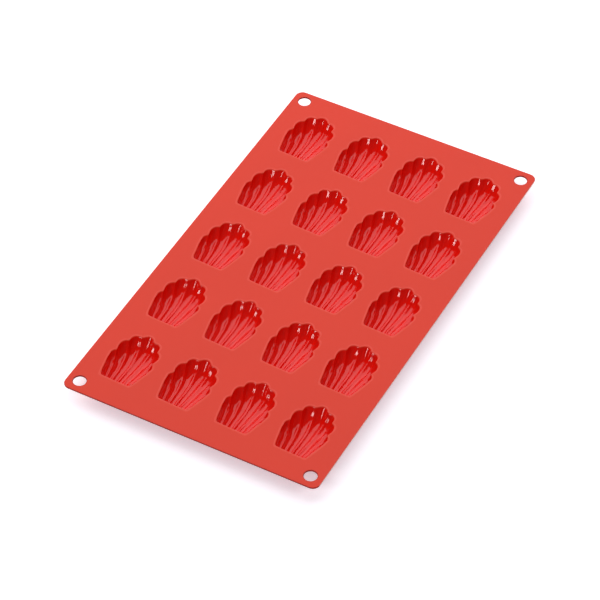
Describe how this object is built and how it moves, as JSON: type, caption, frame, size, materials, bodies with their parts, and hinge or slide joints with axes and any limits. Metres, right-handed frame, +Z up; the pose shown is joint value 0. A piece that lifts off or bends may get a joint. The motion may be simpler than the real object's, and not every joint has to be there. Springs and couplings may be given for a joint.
{
  "type": "shell cake mould",
  "caption": "Flexible baking mould: a thin flat sheet with corner hanging holes and a grid of fluted scallop-shell cups hanging below it.",
  "frame": {"origin": "on the table, under the middle of the sheet", "axes": "+Z up out of the cups, +Y along the sheet's length towards the shells' round, lobed ends, +X across its width"},
  "size_m": [0.174, 0.3, 0.0106],
  "materials": {
    "sheet_silicone": "satin red silicone rubber",
    "cup_silicone": "smooth glossy red silicone rubber"
  },
  "bodies": {
    "root": {"mould_sheet": "sheet_silicone", "shell_cup_r1_c1": "cup_silicone", "shell_cup_r1_c2": "cup_silicone", "shell_cup_r1_c3": "cup_silicone", "shell_cup_r1_c4": "cup_silicone", "shell_cup_r2_c1": "cup_silicone", "shell_cup_r2_c2": "cup_silicone", "shell_cup_r2_c3": "cup_silicone", "shell_cup_r2_c4": "cup_silicone", "shell_cup_r3_c1": "cup_silicone", "shell_cup_r3_c2": "cup_silicone", "shell_cup_r3_c3": "cup_silicone", "shell_cup_r3_c4": "cup_silicone", "shell_cup_r4_c1": "cup_silicone", "shell_cup_r4_c2": "cup_silicone", "shell_cup_r4_c3": "cup_silicone", "shell_cup_r4_c4": "cup_silicone", "shell_cup_r5_c1": "cup_silicone", "shell_cup_r5_c2": "cup_silicone", "shell_cup_r5_c3": "cup_silicone", "shell_cup_r5_c4": "cup_silicone"}
  },
  "joints": []
}
